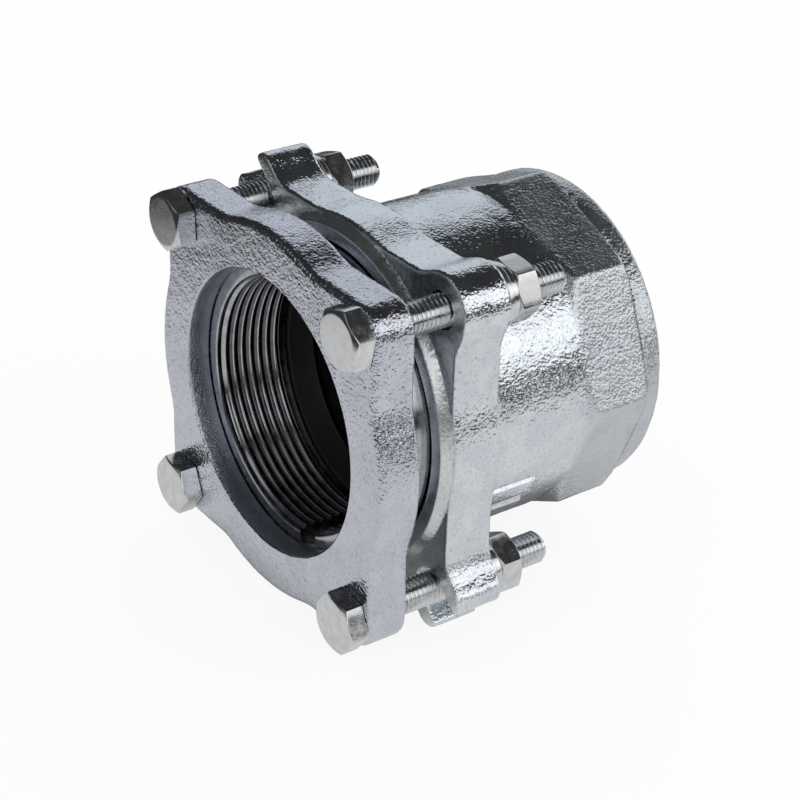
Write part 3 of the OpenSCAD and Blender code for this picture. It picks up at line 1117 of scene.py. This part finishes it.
@dataclass
class Fastener:
    """One bolt with its nut, flat washer and spring washer; turns in degrees."""

    corner: Corner
    head_turn: float
    nut_turn: float
    cut_turn: float
    across: float = 17.0
    shank: float = 5.0
    pitch: float = 1.5
    head: float = 6.4
    length: float = 70.0
    nut_span: tuple[float, float] = (53.8, 61.8)
    nut_bore: float = 5.06
    countersink: float = 5.75
    washer_rows: Profile = ((5.35, 64.2), (10.0, 64.2), (10.0, 66.2), (5.35, 66.2))
    spring_rows: Profile = ((5.4, 61.9), (9.05, 61.9), (9.05, 64.1), (5.4, 64.1))
    points: int = 48

    def ring(self, radius: Given, d: Given, turn: float = 0.0) -> Array:
        """One loop round the bolt's axis."""
        angle = math.radians(turn) + np.arange(self.points) * TURN / self.points
        return polar(radius, angle, d, self.corner.centre)

    def hexagon(self, inset: float = 0.0) -> Array:
        """Radius of the hexagon at each point of a loop, corners slightly rounded."""
        angle = np.arange(self.points) * 360 / self.points
        off = np.radians((angle + 30) % 60 - 30)
        flat = (self.across / 2 - inset) / np.cos(math.radians(30) - np.abs(off))
        return np.minimum(flat, self.across / 2 / math.cos(math.radians(30)) - 0.12 - inset)

    def crown(self, base: float, sign: float, turn: float) -> list[Array]:
        """Loops from the flat of a hexagon end out to its side.

        Args:
            base: Distance of the end face.
            sign: 1 where the end faces the clamp end, -1 for the other.
            turn: Turn of the hexagon in degrees.

        Returns:
            The loops, from the inner to the outer.
        """
        flat, chamfer = self.across / 2 - 0.55, math.tan(math.radians(28))
        soft, out = self.hexagon(0.12), self.hexagon()
        rows = (
            (flat - 0.9, 0.0),
            (flat - 0.35, 0.0),
            (flat, 0.05),
            (soft, np.maximum(soft - flat, 0) * chamfer + 0.06),
            (out, np.maximum(out - flat, 0) * chamfer + 0.2),
        )
        return [self.ring(radius, base - sign * drop, turn) for radius, drop in rows]

    def bolt(self) -> None:
        """Builds the bolt: chamfered head and a helical thread down to the tip."""
        turn, under = self.head_turn, PLAN.clamp_front
        top, tip = under + self.head, under - self.length
        low = tip + 0.1
        high = low + int((under - 1.0 - low) / self.pitch) * self.pitch
        rows = (
            (self.hexagon(), under + 0.25),
            (self.hexagon(0.2), under),
            (self.shank + 0.3, under),
            (self.shank - 0.1, under - 0.3),
            (self.shank - 0.1, high),
        )
        skin = Skin()
        firsts = skin.tube(self.crown(top, 1, turn) + [self.ring(r, d, turn) for r, d in rows])
        last = self.thread(skin, firsts[-1], high, low)
        end = skin.ring(self.ring(3.6, tip, turn))
        skin.strip(last, end, self.points)
        skin.tip(firsts[0], self.points, (*self.corner.centre, top), True)
        skin.tip(end, self.points, (*self.corner.centre, tip), False)
        self.hand_over(skin, "hex", "bolt", "clamp", 30)

    def thread(self, skin: Skin, start: int, high: float, low: float) -> int:
        """Adds a thread whose edges follow the helix.

        Args:
            skin: The skin of the bolt.
            start: First point of the loop above the thread.
            high: Distance of that loop.
            low: Distance of the loop below the thread.

        Returns:
            The first point of the loop below.
        """
        core, run_out = 3.7, 4.0
        lead = np.arange(self.points) / self.points * self.pitch
        section = ((0.0, 0.0), (0.14, 0.0), (0.5, 0.86), (0.64, 0.86))
        per, rows = len(section), []
        turns = round((high - low) / self.pitch) - 1
        for k in range(turns * per + 1):
            share, depth = section[k % per]
            d = high - (k // per + share) * self.pitch - lead
            fade = np.clip((high + 1.0 - d) / run_out, 0, 1)
            point = np.maximum(core, self.shank - 1.1 + d - low)
            radius = np.minimum(self.shank - depth * fade, point)
            rows.append(skin.ring(self.ring(radius, d, self.head_turn)))
        end = skin.ring(self.ring(core, low, self.head_turn))
        last = self.points - 1
        for a, b in zip([start] + rows, rows + [end]):
            skin.strip(a, b, self.points, False)
        for a, b, c, e in zip(rows, rows[per:], rows[per + 1:], rows[1:]):
            skin.faces.append((a + last, b, c, e + last))
        skin.faces.append([start + last, start, *rows[: per + 1], rows[0] + last])
        ends = [row + last for row in rows[::-1][: per + 1]]
        skin.faces.append([rows[-1], end, end + last, *ends])
        return end

    def nut(self) -> None:
        """Builds the nut with both ends chamfered and a countersunk bore."""
        (low, high), turn, deep = self.nut_span, self.nut_turn, 0.7
        loops = [self.ring(self.nut_bore, low + deep, turn), self.ring(self.countersink, low, turn)]
        loops += self.crown(low, -1, turn) + self.crown(high, 1, turn)[::-1]
        loops.append(self.ring(self.countersink, high, turn))
        loops.append(self.ring(self.nut_bore, high - deep, turn))
        skin = Skin()
        skin.tube(loops, around=True)
        self.hand_over(skin, "hex", "nut", self.corner.nut_body, 30)

    def washer(self) -> None:
        """Builds the flat washer with its rolled edge."""
        skin = Skin()
        rows = soft_profile(self.washer_rows, 0.4)
        skin.tube([self.ring(r, d) for r, d in rows], around=True)
        self.hand_over(skin, "flat", "washer", "socket")

    def spring(self) -> None:
        """Builds the split spring washer, its ends set a little apart."""
        section = np.array(soft_profile(self.spring_rows, 0.35))
        gap, centre = math.radians(5), self.corner.centre
        skin = split_ring(section, self.cut_turn, gap, 60, centre, rise=0.1)
        self.hand_over(skin, "split", "spring_washer", "socket")

    def hand_over(self, skin: Skin, form: str, kind: str, body: str, sharp: float = 38) -> None:
        """Dresses one of the four pieces, its form before the name of its node."""
        name = f"{kind}_{self.corner.label}"
        finishes = (Look.BOLT_BRIGHT_ZINC,)
        dress(f"{form}_{name}", skin.mesh(name), finishes, body, [name], sharp)

    def build(self) -> None:
        """Builds all four pieces."""
        for make in (self.bolt, self.nut, self.washer, self.spring):
            make()


@dataclass(frozen=True)
class SoftBox:
    """A bright part of the studio: low, high and softness of its edges.

    The turn is in degrees round the pipe, along is the share of the way along it.
    """

    glow: float
    turn: tuple[float, float, float]
    along: tuple[float, float, float]


SOFT_BOXES = (
    SoftBox(0.63, (-112, -34, 8), (0.25, 1.2, 0.08)),
    SoftBox(0.95, (36, 88, 6), (-0.92, 1.2, 0.08)),
    SoftBox(0.35, (46, 78, 10), (0.3, 0.75, 0.1)),
    SoftBox(0.50, (-190, 190, 1), (0.86, 1.2, 0.05)),
    SoftBox(0.45, (-75, 20, 12), (-1.2, -0.75, 0.08)),
)


@dataclass
class Studio:
    """Camera, floor, world and lamps; lengths in millimetres, angles in degrees."""

    azimuth: float = 53.197
    elevation: float = 28.960
    roll: float = 1.967
    lens: float = 93.503
    reach: float = 609.5
    shift_right: float = 39.85
    shift_up: float = 4.13
    floor_level: float = -60.3
    floor_half: float = 3000.0

    def camera(self) -> None:
        """Sets the camera where the photograph was taken from."""
        a, e, r = (math.radians(x) for x in (self.azimuth, self.elevation, self.roll))
        back = Vector((math.sin(a) * math.cos(e), -math.cos(a) * math.cos(e), math.sin(e)))
        level = Vector((math.cos(a), math.sin(a), 0))
        upright = back.cross(level)
        right = math.cos(r) * level + math.sin(r) * upright
        up = math.cos(r) * upright - math.sin(r) * level
        data = bpy.data.cameras.new("camera")
        data.lens = self.lens
        data.sensor_width = 36.0
        data.clip_start, data.clip_end = 0.01, 20
        away = back * self.reach + right * self.shift_right + up * self.shift_up
        eye = Vector((0, -PLAN.clamp_front * MM, 0)) + away * MM
        thing = as_object("camera", data)
        turn = Matrix((right, up, back)).transposed()
        thing.matrix_world = Matrix.Translation(eye) @ turn.to_4x4()
        bpy.context.scene.camera = thing

    def world(self) -> None:
        """White for the camera, plain for dull surfaces, soft boxes for the metal."""
        world = bpy.data.worlds.new("studio")
        bpy.context.scene.world = world
        world.use_nodes = True
        world.node_tree.nodes.clear()
        g = Graph(world.node_tree)
        x, y, z = g.axes("Generated")
        round_pipe = g.times(g.math("ARCTAN2", x, z), 180 / math.pi)
        tone: object = 0.03
        for box in SOFT_BOXES:
            mask = g.times(g.window(round_pipe, *box.turn), g.window(y, *box.along))
            tone = g.plus(tone, g.times(mask, box.glow))
        cold = g.mix(g.steps(round_pipe, -50, -20, 1.0, 0.0), WHITE, (0.95, 1.0, 1.06, 1))
        metal = g.glow("ShaderNodeBackground", g.mix(1.0, cold, tone, "MULTIPLY"))
        plain = g.glow("ShaderNodeBackground", (0.9, 0.9, 0.9, 1))
        white = g.glow("ShaderNodeBackground", WHITE)
        path = g.add("ShaderNodeLightPath").outputs
        unseen = g.blend(path["Is Glossy Ray"], plain, metal)
        light = g.blend(path["Is Camera Ray"], unseen, white)
        g.link(light, g.add("ShaderNodeOutputWorld").inputs["Surface"])

    def mirrored(self, g: Graph) -> Socket:
        """How bright metal sees the floor: a painted pool of light round the part, dark far from
        it, with a painted shadow under the part.

        Args:
            g: The graph of the floor's material.

        Returns:
            The tone.
        """
        away = g.add("ShaderNodeVectorMath", operation="DISTANCE")
        g.set(away, {0: g.spot(), 1: (0.09, 0.0, self.floor_level * MM)})
        x, y, _ = g.axes()
        # painted shadow: darker where the floor lies under the part's footprint
        edge = g.most(g.reach(x, 0.0, 0.03), g.reach(y, -0.058, 0.045))
        under = g.steps(edge, 0.0, 0.02, 0.25, 1.0)
        # painted pool of light: bright within about 0.3 m of the part, nearly black beyond 0.46 m
        close = g.steps(x, 0.0, 0.15, 0.04, 0.05)
        far = g.steps(x, 0.03, 0.12, 0.66, 0.72)
        return g.times(g.steps(away.outputs["Value"], 0.315, 0.46, far, close), under)

    def floor(self) -> None:
        """A plain pale floor that keeps a faint shadow; metal sees it glow with a painted pool of
        light and a painted shadow under the part.
        """
        half, level = self.floor_half, self.floor_level
        rows = [(u * half, level, d * half) for u, d in ((-1, -1), (1, -1), (1, 1), (-1, 1))]
        made = bpy.data.meshes.new("floor")
        made.from_pydata(place(np.array(rows)).tolist(), [], [(0, 1, 2, 3)])
        material = bpy.data.materials.new("floor_white")
        material.use_nodes = True
        g, nodes = Graph(material.node_tree), material.node_tree.nodes
        shader = nodes["Principled BSDF"]
        g.set(shader, {"Base Color": (0.86, 0.86, 0.87, 1), "Roughness": 0.9})
        path = g.add("ShaderNodeLightPath").outputs
        pale = g.glow("ShaderNodeEmission", WHITE)
        lit = g.blend(g.times(path["Is Camera Ray"], 0.9), shader.outputs[0], pale)
        # for glossy rays the floor glows with this painted pool of light and painted shadow
        metal = g.glow("ShaderNodeEmission", self.mirrored(g))
        surface = g.blend(path["Is Glossy Ray"], lit, metal)
        g.link(surface, nodes["Material Output"].inputs["Surface"])
        made.materials.append(material)
        plane = as_object("floor", made)

    def lamp(self, name: str, eye: tuple[float, float, float], size: float, power: float) -> None:
        """One soft square lamp aimed at the part, in metres and watts."""
        data = bpy.data.lights.new(name, "AREA")
        data.shape = "SQUARE"
        data.size = size
        data.energy = power
        thing = as_object(name, data)
        thing.location = eye
        aim = Vector((0, -0.06, 0)) - Vector(eye)
        thing.rotation_mode = "QUATERNION"
        thing.rotation_quaternion = aim.to_track_quat("-Z", "Y")
        thing.visible_glossy = False

    def build(self) -> None:
        """Builds everything round the part."""
        self.camera()
        self.world()
        self.floor()
        self.lamp("soft_left", (-0.9, 0.7, 0.7), 0.5, 3)
        self.lamp("soft_right", (0.9, 0.6, 0.42), 0.4, 3)
        bpy.context.scene.view_settings.view_transform = "Standard"


TURNS = ((33, 18, 120), (17, 51, 200), (53, 41, 40), (52, 29, 250))
"""Turns of head, nut and the spring washer's cut at each corner, in degrees."""


def main() -> None:
    """Builds the part and its studio in order."""
    logging.basicConfig(level=logging.INFO, format="%(name)s: %(message)s")
    for piece in (SocketCasting(), ClampFlange(), GripRing(), InnerRings()):
        piece.build()
    for corner, (head, nut, cut) in zip(Corner, TURNS):
        Fastener(corner, head, nut, cut).build()
    Studio().build()


if __name__ == "__main__":
    main()
